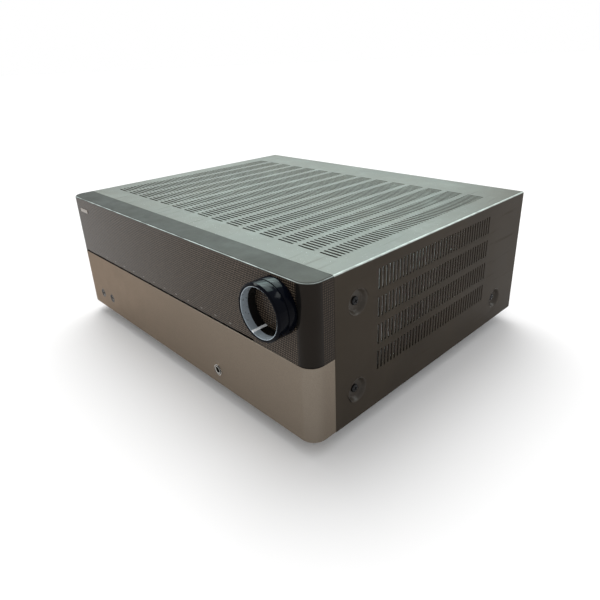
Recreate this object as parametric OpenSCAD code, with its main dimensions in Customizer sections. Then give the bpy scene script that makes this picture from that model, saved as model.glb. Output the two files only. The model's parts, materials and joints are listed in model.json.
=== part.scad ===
// Home hi-fi receiver: a wide steel case with a slotted wrap-round cover, a two-part front,
// one hollow volume knob, a row of slim keys in the groove between the front parts, and the
// power supply, amplifier and connectors inside.
// Millimetres, +Z up. The front faces -Y and +X is to the right as seen from the front.
// The origin is under the middle of the whole object, on the surface it stands on.

/* [Case] */
// Width over the cover and the front parts
case_w = 440; // [430:1:450]
// Height of the case without its feet
case_h = 149; // [147:1:155]
// Depth from the front face to the back edge of the cover
case_d = 353.5; // [350:0.5:360]
// Thickness of the steel sheets
sheet_t = 1.2; // [1:0.1:1.4]
// Height of the feet
foot_h = 16; // [14:0.5:20]
// Diameter of the feet
foot_dia = 48; // [40:1:54]

/* [Front] */
// Depth of the two front parts, from the face to the cover
front_d = 27; // [25:0.5:30]
// Radius of their upright corners
front_r = 14; // [10:1:18]
// Wall thickness of the front parts
front_t = 2.5; // [2:0.1:3]
// Height of the seam between them above the bottom of the case
seam_z = 75; // [72:0.5:78]
// Height of the key groove above the seam
groove_h = 2.2; // [2:0.1:2.6]
// Left end of the key groove
groove_left = -205; // [-208:1:-203]
// Right end of the key groove
groove_right = 148; // [144:1:150]

/* [Keys] */
// Number of small keys
key_count = 12; // [4:1:12]
// Distance from one key to the next
key_pitch = 23.4; // [22:0.1:23.6]
// Width of a small key
key_w = 19; // [16:0.5:20]
// Middle of the rightmost small key
key_right_x = 115; // [110:1:118]
// Width of the power key
power_w = 22; // [18:0.5:23]
// Middle of the power key
power_x = -189; // [-190:1:-188]
// Travel of a key
key_travel = 0.8; // [0.5:0.1:0.8]

/* [Knob] */
// Outer diameter of the volume knob
knob_dia = 50; // [46:0.5:52]
// Distance that the knob stands out
knob_out = 19.5; // [18:0.5:22]
// Middle of the knob, to the right
knob_x = 182.5; // [180:0.5:186]
// Middle of the knob above the bottom of the case
knob_z = 121.5; // [118:0.5:123]
// Depth of the finger hollow in the knob
knob_hollow = 15; // [12:0.5:16]
// Place of the pointer line, counter-clockwise from the right
pointer_angle = 245; // [225:1:265]

/* [Vents] */
// Distance from one slot to the next in a row
slot_pitch = 5; // [4.8:0.1:5.2]
// Width of a slot
slot_w = 2.3; // [1.8:0.1:2.6]
// Length of a slot
slot_len = 20; // [18:0.5:21]
// Distance from one row of slots to the next
vent_pitch = 26.7; // [25:0.1:27]
// Rows of slots in the top
top_rows = 15; // [9:2:15]
// Slots in each row of the top
top_slots = 50; // [10:1:50]
// Rows of slots in each side
side_rows = 4; // [1:1:4]
// Slots in each row of a side
side_slots = 39; // [10:1:40]

/* [Back] */
// Distance that the speaker posts stand out behind the cover
post_out = 17; // [16:0.5:19]
// Distance between speaker posts
post_pitch = 21; // [19:0.5:22]
// Outer diameter of a speaker post cap
cap_dia = 12; // [11:0.5:13]

/* [Hidden] */
keys = [for (i = [1:key_count]) str("menu_key_", i)];
caps = [for (i = [1:8]) str("post_cap_", i)];
case_nodes = ["top_cover", "chassis_tray", "rear_panel", "front_subframe", "upper_front", "lower_front"];
base_nodes = ["feet", "foot_pads", "cover_screws", "rear_screws"];
front_nodes = ["badge_bar", "power_key", "key_board", "display_module", "headphone_jack"];
jack_nodes = ["front_jack_left", "front_jack_right"];
knob_nodes = ["knob_ring", "knob_liner", "knob_pointer", "knob_hub", "encoder_shaft", "volume_encoder"];
power_nodes = ["transformer_core", "transformer_coil", "transformer_strap", "supply_board", "filter_capacitors"];
amp_nodes = ["heatsink", "amp_board", "output_transistors", "main_board", "digital_board", "ribbon_cable"];
back_nodes = ["speaker_block", "speaker_studs", "rca_jacks", "hdmi_sockets", "antenna_block", "ac_inlet"];

y_face = knob_out - (knob_out + case_d + post_out) / 2;
y_back = y_face + case_d;
y_end = y_back + post_out;
z_base = foot_h;
z_top = foot_h + case_h;
z_seam = foot_h + seam_z;
half_w = case_w / 2;
inner_w = half_w - sheet_t;
cover_y = y_face + front_d + 0.3;
panel_y = y_back - 0.5 - sheet_t;
frame_y = y_face + 22;
key_y = z_seam + groove_h / 2;
dimple_r = 11.5;
dimple_d = 4.5;
dimple_floor_r = 9;
flange_x = half_w - dimple_d - sheet_t;
flange_h = 37;
screw_r = 1.75;
screw_gap = 0.15;
// Side dimples as [distance behind the face, height above the bottom of the case]
dimples = [[56, 116], [56, 29.5], [308.3, 28.3]];
top_first = 56.5;
side_first = 84;
side_low = 37.3;
jack_x = 85.3;
jack_z = 17;
jack_r = 6;
jack_bore_r = 3.25;
mini_x = [-179.4, -153];
mini_z = 20;
mini_r = 5.5;
mini_bore_r = 1.85;
mini_bore_len = 12;
fit_gap = 0.15;
$fn = 48;

steel = [0.32, 0.32, 0.33];
graphite = [0.22, 0.21, 0.2];
bronze = [0.49, 0.45, 0.4];
gloss_brown = [0.24, 0.21, 0.19];
near_black = [0.05, 0.05, 0.06];
circuit_green = [0.1, 0.3, 0.18];

// Places its children on the front face: x to the right, y up, z towards the viewer
module on_front(x, z) {
  translate([x, y_face, z]) rotate([90, 0, 0]) children();
}

// Places its children on the back panel's outer face: x to the right, y up, z forwards
module on_back(x, z) {
  translate([x, y_back - 0.5, z]) rotate([90, 0, 0]) children();
}

// Box between two corners
module span(a, b) {
  translate(a) cube(b - a);
}

// ---- Case ----

module slots(columns, rows, column_pitch, row_pitch, w, h) {
  for (i = [0:columns - 1], j = [0:rows - 1])
    translate([i * column_pitch, j * row_pitch]) square([w, h]);
}

module top_sheet() {
  row_x = -(top_rows - 1) / 2 * vent_pitch - slot_len / 2;
  translate([0, 0, z_top - sheet_t]) linear_extrude(sheet_t) difference() {
    translate([-half_w, cover_y]) square([case_w, y_back - cover_y]);
    translate([row_x, y_face + top_first - slot_w / 2])
      slots(top_rows, top_slots, vent_pitch, slot_pitch, slot_len, slot_w);
  }
}

module side_sheet() {
  rotate([90, 0, 90]) linear_extrude(sheet_t) difference() {
    translate([cover_y, z_base]) square([y_back - cover_y, case_h]);
    translate([y_face + side_first - slot_w / 2, z_base + side_low])
      slots(side_slots, side_rows, slot_pitch, vent_pitch, slot_w, slot_len);
  }
}

module dimple_places() {
  for (side = [0, 1], p = dimples)
    mirror([side, 0, 0]) translate([half_w, y_face + p[0], z_base + p[1]]) rotate([0, -90, 0]) children();
}

module top_cover() {
  color(graphite) difference() {
    union() {
      top_sheet();
      translate([inner_w, 0, 0]) side_sheet();
      translate([-half_w, 0, 0]) side_sheet();
      dimple_places() cylinder(h = dimple_d + sheet_t, r1 = dimple_r + 1, r2 = dimple_floor_r + 1);
    }
    dimple_places() {
      cylinder(h = dimple_d, r1 = dimple_r, r2 = dimple_floor_r);
      cylinder(h = dimple_d + 2 * sheet_t, r = screw_r + 2 * screw_gap);
    }
  }
}

module cover_screws() {
  head_h = 2;
  color(near_black) dimple_places() translate([0, 0, dimple_d]) {
    translate([0, 0, -head_h]) difference() {
      cylinder(h = head_h, r1 = 3.2, r2 = 4);
      translate([0, 0, -0.01]) cylinder(h = 1.2, r = 1.7, $fn = 6);
    }
    cylinder(h = 2 * sheet_t + 3, r = screw_r);
  }
}

module chassis_tray() {
  front = cover_y;
  flange_y = frame_y + 24;
  color(steel) difference() {
    union() {
      translate([0, 0, z_base]) linear_extrude(sheet_t) difference() {
        translate([-inner_w, front]) square([2 * inner_w, y_back - 0.5 - front]);
        for (x = [-196, 100])
          translate([x, y_face + 150]) slots(3, 10, 30, 10, 22, 3.4);
        foot_places() circle(r = 2.2);
      }
      for (side = [0, 1])
        mirror([side, 0, 0])
          span([flange_x - sheet_t, flange_y, z_base], [flange_x, panel_y, z_base + flange_h]);
      standoffs(3, z_base + sheet_t, 8);
    }
    dimple_places() cylinder(h = 20, r = screw_r + screw_gap);
  }
}

module standoffs(r, z, h) {
  for (x = [-110, -24, 56], y = [y_back - 110, y_back - 24])
    translate([x, y, z]) cylinder(h = h, r = r);
}

module foot_places() {
  for (x = [-1, 1], y = [y_face + 52, y_face + 305])
    translate([x * (half_w - 52), y]) children();
}

module feet() {
  color(near_black) foot_places() {
    translate([0, 0, 2]) cylinder(h = 5, r1 = foot_dia / 2 - 3, r2 = foot_dia / 2);
    translate([0, 0, 7]) cylinder(h = foot_h - 7, r = foot_dia / 2);
    translate([0, 0, foot_h - 1]) cylinder(h = sheet_t + 3, r = 2.1);
  }
}

module foot_pads() {
  color([0.14, 0.14, 0.14]) foot_places() cylinder(h = 2, r = foot_dia / 2 - 4);
}

module front_subframe() {
  low = z_base + sheet_t;
  high = z_top - front_t;
  color(steel) difference() {
    union() {
      span([-flange_x, frame_y, low], [flange_x, frame_y + sheet_t, high]);
      span([-flange_x + 6, frame_y, low], [flange_x - 6, frame_y + 22, low + sheet_t]);
      for (side = [0, 1])
        mirror([side, 0, 0])
          span([flange_x - sheet_t, frame_y, z_base + 60], [flange_x, y_face + 72, z_top - 10]);
    }
    on_front(knob_x, z_base + knob_z) translate([0, 0, -30]) cylinder(h = 20, r = 4.7);
    on_front(jack_x, z_base + jack_z) translate([0, 0, -30]) cylinder(h = 20, r = 5.5);
    for (x = mini_x)
      on_front(x, z_base + mini_z) translate([0, 0, -30]) cylinder(h = 20, r = 4.5);
    dimple_places() cylinder(h = 20, r = screw_r + screw_gap);
    span([-60, frame_y - 1, z_base + 95], [-20, frame_y + 3, z_base + 110]);
  }
}

module rear_panel() {
  color([0.16, 0.16, 0.16]) translate([0, y_back - 0.5, 0]) rotate([90, 0, 0]) linear_extrude(sheet_t)
    difference() {
      translate([-inner_w, z_base + sheet_t]) square([2 * inner_w, case_h - 2 * sheet_t]);
      speaker_seat(fit_gap);
      rca_places() circle(r = 4.6);
      hdmi_places() square([15.6, 6.2], center = true);
      translate([antenna_x, antenna_z]) square([36 + 2 * fit_gap, 24 + 2 * fit_gap], center = true);
      translate([inlet_x, inlet_z]) square([28 + 2 * fit_gap, 20.5 + 2 * fit_gap], center = true);
      rear_screw_places() circle(r = screw_r + screw_gap);
      translate([128, z_base + 76]) slots(8, 1, 8, 1, 3, 26);
    }
}

module rear_screw_places() {
  for (x = [-inner_w + 9, -66, 52, inner_w - 9], z = [z_base + 5.5, z_top - 7])
    translate([x, z]) children();
}

module rear_screws() {
  color([0.1, 0.1, 0.1]) translate([0, y_back - 0.5, 0]) rotate([90, 0, 0]) rear_screw_places() {
    translate([0, 0, -2]) difference() {
      cylinder(h = 2, r1 = 3, r2 = 3.6);
      translate([0, 0, -0.01]) cylinder(h = 1.2, r = 1.6, $fn = 6);
    }
    cylinder(h = sheet_t + 3, r = screw_r);
  }
}

// ---- Front ----

// A wall that follows the sides, corners and front. Its section is [outward, up] about a corner's axis
module wrap_wall(section) {
  yc = y_face + front_r;
  xc = half_w - front_r;
  translate([xc, yc, 0]) rotate([90, 0, -90]) linear_extrude(2 * xc) polygon(section);
  for (side = [0, 1])
    mirror([side, 0, 0]) {
      translate([xc, yc, 0]) rotate([0, 0, -90]) rotate_extrude(angle = 90) polygon(section);
      translate([xc, y_face + front_d, 0]) rotate([90, 0, 0]) linear_extrude(front_d - front_r) polygon(section);
    }
}

// The front parts' outline in plan, moved in by a distance
module front_plan(inset) {
  yc = y_face + front_r;
  translate([-(half_w - front_r), y_face + inset])
    square([2 * (half_w - front_r), front_d - inset]);
  translate([-(half_w - inset), yc]) square([2 * (half_w - inset), front_d - front_r]);
  for (side = [-1, 1])
    translate([side * (half_w - front_r), yc]) circle(r = front_r - inset);
}

// Section of a front part's wall with a bevel at its foot and at its top
module front_wall(z0, z1, foot_bevel, top_bevel) {
  r = front_r;
  wrap_wall([
    [r - front_t, z0],
    [r - foot_bevel, z0],
    [r, z0 + foot_bevel],
    [r, z1 - top_bevel],
    [r - top_bevel, z1],
    [r - front_t, z1]
  ]);
}

module front_bosses(z) {
  for (x = [-170, -60, 60, 140])
    on_front(x, z) translate([0, 0, -22]) difference() {
      cylinder(h = 22 - front_t + 0.1, r = 4);
      translate([0, 0, -0.1]) cylinder(h = 12, r = 1.3);
    }
}

module upper_front() {
  color(gloss_brown) difference() {
    union() {
      front_wall(z_seam, z_top, 0.3, 1.2);
      translate([0, 0, z_top - front_t]) linear_extrude(front_t) front_plan(front_t - 0.4);
      front_bosses(z_top - 12);
    }
    span([groove_left, y_face - 1, z_seam - 1], [groove_right, y_face + 5, z_seam + groove_h]);
    on_front(knob_x, z_base + knob_z) translate([0, 0, -6]) cylinder(h = 8, r = 5.5);
  }
}

module lower_front() {
  color(bronze) difference() {
    union() {
      front_wall(z_base, z_seam - 0.3, 0.6, 0.5);
      translate([0, 0, z_base]) linear_extrude(sheet_t) front_plan(front_t - 0.4);
      front_bosses(z_base + 45);
    }
    on_front(jack_x, z_base + jack_z) translate([0, 0, -5]) cylinder(h = 7, r = jack_r + fit_gap);
    for (x = mini_x)
      on_front(x, z_base + mini_z) translate([0, 0, -5]) cylinder(h = 7, r = mini_r + fit_gap);
  }
}

module badge_bar() {
  color([0.78, 0.75, 0.71]) on_front(-186.5, z_base + 133.5) translate([-10, -2.2, 0]) cube([20, 4.4, 0.6]);
}

module display_module() {
  color([0.08, 0.1, 0.1]) {
    span([-130, y_face + 12, z_base + 88], [50, y_face + 13.6, z_base + 131]);
    span([-120, y_face + 6, z_base + 94], [40, y_face + 12, z_base + 126]);
    for (x = [-125, 45], z = [z_base + 92, z_base + 127])
      on_front(x, z) translate([0, 0, -22]) cylinder(h = 8.4, r = 2.5);
  }
}

// A key: its bar in the groove, a flange behind the walls and a stem to the switch
module key(x, w) {
  bar_h = groove_h - 0.5;
  color(near_black) on_front(x, key_y) {
    translate([-w / 2, -bar_h / 2, -9]) cube([w, bar_h, 7.8]);
    translate([-w / 2 - 1, -2.1, -front_t - 1.3]) cube([w + 2, 4.2, 1.2]);
    translate([-2, -2, -10]) cube([4, 4, 2]);
  }
}

module power_key() {
  key(power_x, power_w);
}

module menu_key(i) {
  key(key_right_x - (i - 1) * key_pitch, key_w);
}

module key_board() {
  switch_z = -10 - key_travel - 0.1;
  key_xs = concat([power_x], [for (i = [0:key_count - 1]) key_right_x - i * key_pitch]);
  color(circuit_green) {
    on_front(0, key_y) translate([groove_left, -9, -17.2]) cube([groove_right - groove_left, 18, 1.6]);
    for (x = key_xs)
      on_front(x, key_y) {
        translate([-3, -3, -15.6]) cube([6, 6, 3.6]);
        translate([0, 0, -12.1]) cylinder(h = 12.1 + switch_z, r = 1.6);
      }
    for (x = [-195, 60, 138])
      on_front(x, key_y + 6) translate([0, 0, -22]) cylinder(h = 4.8, r = 2.5);
  }
}

module headphone_jack() {
  color([0.75, 0.75, 0.74]) on_front(jack_x, z_base + jack_z) difference() {
    union() {
      translate([0, 0, -front_t]) cylinder(h = front_t + 0.6, r = jack_r);
      translate([0, 0, -26]) cylinder(h = 26 - front_t + 0.1, r = 5.3);
      translate([-7, -8, -40]) cube([14, 16, 14]);
    }
    translate([0, 0, -30]) cylinder(h = 40, r = jack_bore_r);
  }
}

module mini_jack(x) {
  color(near_black) on_front(x, z_base + mini_z) difference() {
    union() {
      translate([0, 0, -front_t]) cylinder(h = front_t, r = mini_r);
      translate([0, 0, -24]) cylinder(h = 24 - front_t + 0.1, r = 4.3);
      translate([-5, -6, -34]) cube([10, 11, 10]);
    }
    translate([0, 0, -0.8]) cylinder(h = 2, r1 = 3.9, r2 = 4.9);
    translate([0, 0, -mini_bore_len]) cylinder(h = mini_bore_len + 1, r = mini_bore_r);
  }
}

module front_jack_left() {
  mini_jack(mini_x[0]);
}

module front_jack_right() {
  mini_jack(mini_x[1]);
}

// ---- Volume knob ----

knob_r = knob_dia / 2;
liner_r = knob_r - 2.7;
bore_r = knob_r - 3.4;
liner_len = 7.3;
hub_r = bore_r - 0.6;
floor_z = knob_out - knob_hollow;
knob_gap = 0.6;
groove_z = knob_out - 10;
shaft_r = 3;

module knob_ring() {
  color(near_black) on_front(knob_x, z_base + knob_z) rotate_extrude($fn = 96) polygon([
    [bore_r, knob_gap],
    [knob_r - 0.4, knob_gap],
    [knob_r, knob_gap + 0.4],
    [knob_r, groove_z - 0.4],
    [knob_r - 0.5, groove_z - 0.4],
    [knob_r - 0.5, groove_z + 0.4],
    [knob_r, groove_z + 0.4],
    [knob_r, knob_out - 1.6],
    [knob_r - 1.6, knob_out],
    [liner_r + 0.3, knob_out],
    [liner_r, knob_out - 0.3],
    [liner_r, knob_out - 0.3 - liner_len],
    [bore_r, knob_out - 0.3 - liner_len]
  ]);
}

module knob_liner() {
  front = knob_out - 0.5;
  color([0.62, 0.66, 0.69]) on_front(knob_x, z_base + knob_z) rotate_extrude($fn = 96)
    polygon([
      [liner_r - 0.6, front - liner_len + 0.2],
      [liner_r, front - liner_len + 0.2],
      [liner_r, front],
      [liner_r - 0.6, front]
    ]);
}

module knob_hub() {
  color(near_black) on_front(knob_x, z_base + knob_z) difference() {
    union() {
      translate([0, 0, floor_z - 2.4]) cylinder(h = knob_out - 0.3 - liner_len - floor_z + 2.4, r = bore_r);
      translate([0, 0, knob_gap]) cylinder(h = floor_z - 2.4 - knob_gap + 0.1, r = 7);
    }
    translate([0, 0, floor_z]) cylinder(h = knob_hollow, r = hub_r);
    translate([0, 0, -1]) cylinder(h = floor_z, r = shaft_r);
  }
}

// Distance from the axis at which a flat of width w meets a bore of radius r
function seat(r, w) = sqrt(r * r - w * w / 4);

// The line runs in two steps, along the liner and then along the hub's wall
module knob_pointer() {
  w = 2.2;
  front_seat = seat(liner_r - 0.6, w);
  back_seat = seat(hub_r, w);
  step_z = knob_out - 0.3 - liner_len;
  color([0.93, 0.94, 0.95]) on_front(knob_x, z_base + knob_z) rotate([0, 0, pointer_angle]) difference() {
    union() {
      span([front_seat - 0.9, -w / 2, step_z], [front_seat, w / 2, knob_out - 0.6]);
      span([back_seat - 0.5, -w / 2, floor_z], [back_seat, w / 2, step_z + 0.1]);
    }
    span([back_seat - 2, -0.45, floor_z - 1], [back_seat - 0.25, 0.45, step_z]);
  }
}

module encoder_shaft() {
  color([0.7, 0.7, 0.7]) on_front(knob_x, z_base + knob_z) translate([0, 0, -24])
    cylinder(h = 24 + floor_z - 1.2, r = shaft_r);
}

module volume_encoder() {
  color([0.4, 0.4, 0.42]) on_front(knob_x, z_base + knob_z) difference() {
    union() {
      translate([0, 0, -23.2]) cylinder(h = 12.2, r = 4.5);
      translate([-8, -8, -32]) cube([16, 16, 8.8]);
      translate([0, 0, -22]) cylinder(h = 2.4, r = 6.2, $fn = 6);
    }
    translate([0, 0, -25]) cylinder(h = 20, r = shaft_r + 0.06);
  }
}

// ---- Power supply ----

core_x = -140;
core_y = y_face + 95;
core_w = 96;
core_d = 52;
core_h = 80;
core_z = z_base + sheet_t;
limb = 16;
window_h = core_h - 2 * limb;

module transformer_core() {
  color([0.3, 0.29, 0.28]) translate([core_x, core_y, core_z]) difference() {
    translate([-core_w / 2, -core_d / 2, 0]) cube([core_w, core_d, core_h]);
    for (side = [-1, 1])
      translate([side * limb * 1.5, 0, core_h / 2]) cube([limb, core_d + 2, window_h], center = true);
  }
}

module transformer_coil() {
  color([0.72, 0.5, 0.2]) translate([core_x, core_y, core_z + core_h / 2]) difference() {
    cube([4 * limb, core_d + 28, window_h - 2], center = true);
    cube([2 * limb, core_d, core_h], center = true);
  }
}

module transformer_strap() {
  t = 1.5;
  color(steel) translate([core_x, core_y, core_z]) {
    difference() {
      translate([-core_w / 2 - t, -9, 0]) cube([core_w + 2 * t, 18, core_h + t]);
      translate([-core_w / 2, -10, -1]) cube([core_w, 20, core_h + 1]);
    }
    for (side = [0, 1])
      mirror([side, 0, 0]) difference() {
        translate([core_w / 2, -9, 0]) cube([16, 18, t]);
        translate([core_w / 2 + 9, 0, -1]) cylinder(h = 4, r = 2.2);
      }
  }
}

module supply_board() {
  color(circuit_green) difference() {
    span([-72, y_face + 62, z_base + 12], [64, y_face + 150, z_base + 13.6]);
    for (x = [-66, 58], y = [y_face + 68, y_face + 144])
      translate([x, y, z_base]) cylinder(h = 30, r = 1.6);
  }
  color([0.5, 0.5, 0.5])
    for (x = [-66, 58], y = [y_face + 68, y_face + 144])
      translate([x, y, z_base + sheet_t]) cylinder(h = 12 - sheet_t, r = 3);
}

module filter_capacitors() {
  color([0.1, 0.12, 0.2])
    for (x = [-42, 0])
      translate([x, y_face + 105, z_base + 13.6]) difference() {
        cylinder(h = 52, r = 17.5);
        translate([0, 0, 49]) difference() {
          cylinder(h = 1.2, r = 18);
          translate([0, 0, -1]) cylinder(h = 4, r = 16.8);
        }
      }
}

// ---- Amplifier ----

sink_x = 158;
sink_y0 = y_face + 80;
sink_len = 190;
sink_z = z_base + sheet_t;
sink_h = 124;
fin_out = 46;

module heatsink() {
  fins = 20;
  color([0.7, 0.71, 0.72]) translate([sink_x, sink_y0, sink_z]) linear_extrude(sink_h) {
    square([6, sink_len]);
    for (i = [0:fins - 1])
      translate([5, i * (sink_len - 1.8) / (fins - 1)]) square([fin_out - 5, 1.8]);
  }
}

module output_transistors() {
  color([0.07, 0.07, 0.07])
    for (i = [0:7])
      translate([sink_x - 5, sink_y0 + 8 + i * 22.6, sink_z + 50]) cube([5, 15.6, 20]);
}

module amp_board() {
  color([0.28, 0.36, 0.16])
    span([74, sink_y0, z_base + 30], [sink_x - 6, sink_y0 + sink_len, z_base + 31.6]);
  color([0.6, 0.6, 0.6])
    for (x = [84, sink_x - 16], y = [sink_y0 + 10, sink_y0 + sink_len - 10])
      translate([x, y, z_base + sheet_t]) cylinder(h = 30 - sheet_t, r = 3);
}

module main_board() {
  low = z_base + sheet_t + 8;
  color(circuit_green) {
    difference() {
      span([-128, y_back - 124, low], [64, panel_y - 3, low + 1.6]);
      translate([0, 0, -1]) standoffs(1.6, low, 4);
    }
    span([-40, y_back - 100, low + 1.5], [-12, y_back - 72, low + 5]);
    span([10, y_back - 96, low + 1.5], [34, y_back - 72, low + 4]);
  }
}

module digital_board() {
  low = z_base + 112;
  color([0.1, 0.22, 0.32]) {
    span([-126, y_back - 110, low], [66, panel_y - 2, low + 1.6]);
    for (x = [-120, 60], y = [y_back - 104, y_back - 40])
      translate([x, y, z_base + sheet_t + 9.6]) cylinder(h = 112.1 - sheet_t - 9.6, r = 2.5);
    for (i = [0:5])
      span([-110 + 26 * i, y_back - 90, low + 1.5], [-94 + 26 * i, y_back - 74, low + 4]);
  }
}

module ribbon_cable() {
  low = z_base + sheet_t + 9.6;
  high = z_base + 112;
  y = y_back - 114;
  color([0.7, 0.7, 0.68]) {
    span([-80, y, low], [-50, y + 10, low + 1]);
    span([-80, y, low], [-50, y + 1, high - 0.2]);
    span([-80, y, high - 1.2], [-50, y + 12, high]);
  }
}

// ---- Back ----

speaker_x = 150;
speaker_z = z_base + 40;
inlet_x = -186;
inlet_z = z_base + 28;
antenna_x = 96;
antenna_z = z_base + 122;
stud_r = 3;
banana_r = 2.05;

module speaker_seat(gap) {
  w = 3 * post_pitch + 26 + 2 * gap;
  translate([speaker_x - w / 2, speaker_z - 24 - gap]) square([w, 48 + 2 * gap]);
}

// Posts one to four are the upper row, five to eight the lower one
function post_x(i) = speaker_x + ((i - 1) % 4 - 1.5) * post_pitch;
function post_z(i) = speaker_z + (i < 5 ? 11 : -11);

module speaker_block() {
  color([0.12, 0.12, 0.12]) difference() {
    union() {
      translate([0, y_back + 2.5, 0]) rotate([90, 0, 0]) linear_extrude(14) speaker_seat(0);
      translate([speaker_x - 46, panel_y - 14, speaker_z - 22]) cube([92, 10, 44]);
    }
    for (i = [1:8])
      translate([post_x(i), y_back + 3, post_z(i)]) rotate([90, 0, 0]) cylinder(h = 8, r = stud_r);
  }
}

module speaker_studs() {
  color([0.83, 0.68, 0.35])
    for (i = [1:8])
      translate([post_x(i), y_end, post_z(i)]) rotate([90, 0, 0]) difference() {
        cylinder(h = post_out + 4, r = stud_r);
        translate([0, 0, -1]) cylinder(h = 13, r = banana_r);
      }
}

module post_cap(i) {
  cap_r = cap_dia / 2;
  cap_len = post_out - 4;
  color(i % 2 == 0 ? [0.65, 0.1, 0.08] : [0.07, 0.07, 0.07])
    translate([post_x(i), y_end, post_z(i)]) rotate([90, 0, 0]) difference() {
      union() {
        cylinder(h = 0.6, r1 = cap_r - 0.6, r2 = cap_r);
        translate([0, 0, 0.6]) cylinder(h = cap_len - 0.6, r = cap_r);
      }
      translate([0, 0, -1]) cylinder(h = cap_len + 2, r = stud_r + 0.06);
      for (a = [0:45:315])
        rotate([0, 0, a]) translate([cap_r + 0.5, 0, -1]) cylinder(h = cap_len - 1, r = 1.1);
    }
}

module rca_places() {
  for (i = [0:7], j = [0:1])
    translate([-122 + 17 * i, z_base + 46 + 18 * j]) children();
}

module rca_jacks() {
  color([0.8, 0.75, 0.6]) on_back(0, 0) {
    rca_places() difference() {
      union() {
        translate([0, 0, -9]) cylinder(h = 9 + sheet_t + 4, r = 4.15);
        translate([-7, -7, sheet_t]) cube([14, 14, 12]);
      }
      translate([0, 0, -10]) cylinder(h = 12, r = 1.6);
    }
    translate([-132, z_base + sheet_t + 9.6, sheet_t + 12.05]) cube([138, 60, 1.7]);
  }
}

module hdmi_places() {
  for (x = [-104, -74, -44, -14, 30])
    translate([x, z_base + 116.4]) children();
}

module hdmi_sockets() {
  color([0.7, 0.7, 0.72]) on_back(0, 0) hdmi_places() difference() {
    translate([-7.5, -2.8, -0.8]) cube([15, 5.6, 13]);
    translate([-7, -2.3, -1.8]) cube([14, 4.6, 11]);
  }
}

module antenna_block() {
  color([0.75, 0.75, 0.72]) on_back(antenna_x, antenna_z) difference() {
    union() {
      translate([-18, -12, -1.5]) cube([36, 24, 16]);
      translate([8, 0, -11]) cylinder(h = 10, r = 4.7);
    }
    translate([8, 0, -12]) cylinder(h = 12, r = 1.2);
    translate([-14, -8, -2]) cube([12, 7, 6]);
    translate([-14, 2, -2]) cube([12, 7, 6]);
  }
}

module ac_inlet() {
  color([0.08, 0.08, 0.08]) on_back(inlet_x, inlet_z) {
    difference() {
      union() {
        translate([-14, -10.25, -2.5]) cube([28, 20.5, 22]);
        translate([-25, -11.5, -2.5]) cube([50, 23, 2.5]);
      }
      translate([-12, -8.2, -3.5]) cube([24, 16.4, 17]);
    }
    for (p = [[-7, -2], [0, 2.5], [7, -2]])
      translate([p[0] - 1, p[1] - 2, 2.2]) cube([2, 4, 12]);
  }
}

top_cover();
chassis_tray();
rear_panel();
front_subframe();
upper_front();
lower_front();
feet();
foot_pads();
cover_screws();
rear_screws();
badge_bar();
power_key();
key_board();
display_module();
headphone_jack();
for (i = [1:key_count])
  menu_key(i);
front_jack_left();
front_jack_right();
knob_ring();
knob_liner();
knob_pointer();
knob_hub();
encoder_shaft();
volume_encoder();
transformer_core();
transformer_coil();
transformer_strap();
supply_board();
filter_capacitors();
heatsink();
amp_board();
output_transistors();
main_board();
digital_board();
ribbon_cable();
speaker_block();
speaker_studs();
rca_jacks();
hdmi_sockets();
antenna_block();
ac_inlet();
for (i = [1:8])
  post_cap(i);
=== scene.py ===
"""Looks of a hi-fi receiver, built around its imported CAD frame. Metres; the front faces -Y and +Z is up."""

import json
import math

import bmesh
import bpy
from mathutils import Matrix, Vector


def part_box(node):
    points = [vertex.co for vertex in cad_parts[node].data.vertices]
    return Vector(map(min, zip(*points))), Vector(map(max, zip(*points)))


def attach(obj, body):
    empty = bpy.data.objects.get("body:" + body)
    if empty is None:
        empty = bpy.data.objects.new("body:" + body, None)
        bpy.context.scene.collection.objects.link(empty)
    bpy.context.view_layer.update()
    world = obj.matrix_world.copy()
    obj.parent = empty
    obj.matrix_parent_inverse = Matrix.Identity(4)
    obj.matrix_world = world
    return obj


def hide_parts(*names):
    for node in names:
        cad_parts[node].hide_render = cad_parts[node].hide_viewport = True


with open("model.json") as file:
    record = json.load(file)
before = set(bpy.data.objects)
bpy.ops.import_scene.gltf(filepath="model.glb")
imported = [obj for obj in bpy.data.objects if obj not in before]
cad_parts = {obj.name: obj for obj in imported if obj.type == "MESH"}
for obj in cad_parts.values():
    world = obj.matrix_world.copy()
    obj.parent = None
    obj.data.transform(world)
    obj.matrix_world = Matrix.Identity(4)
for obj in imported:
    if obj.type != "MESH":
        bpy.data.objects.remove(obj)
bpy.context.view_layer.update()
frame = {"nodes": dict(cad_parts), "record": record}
nodes = frame["nodes"]

MM = 0.001
TAU = 2 * math.pi

# ---- Places, read from the CAD frame ----

cover_low, cover_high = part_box("top_cover")
front_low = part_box("upper_front")[0]
ring_low, ring_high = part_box("knob_ring")
HALF_W = cover_high.x
Y_FACE = front_low.y
Y_COVER = cover_low.y
Y_BACK = cover_high.y
Y_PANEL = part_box("rear_panel")[1].y
Z_BASE = cover_low.z
Z_TOP = cover_high.z
Z_SEAM = front_low.z
KNOB_X = (ring_low.x + ring_high.x) / 2
KNOB_Z = (ring_low.z + ring_high.z) / 2
KNOB_FRONT = ring_low.y
KNOB_R = (ring_high.x - ring_low.x) / 2

# ---- Sizes that the CAD source also has, in metres ----

SHEET_T = 1.2 * MM
BEND_R = 1.8 * MM
CORNER_R = 14 * MM
SLOT_LEN = 20 * MM
SLOT_W = 2.3 * MM
SLOT_PITCH = 5 * MM
VENT_PITCH = 26.7 * MM
TOP_ROWS, TOP_SLOTS, TOP_FIRST = 15, 50, 56.5 * MM
SIDE_ROWS, SIDE_SLOTS, SIDE_FIRST, SIDE_LOW = 4, 39, 84 * MM, 37.3 * MM
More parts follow.
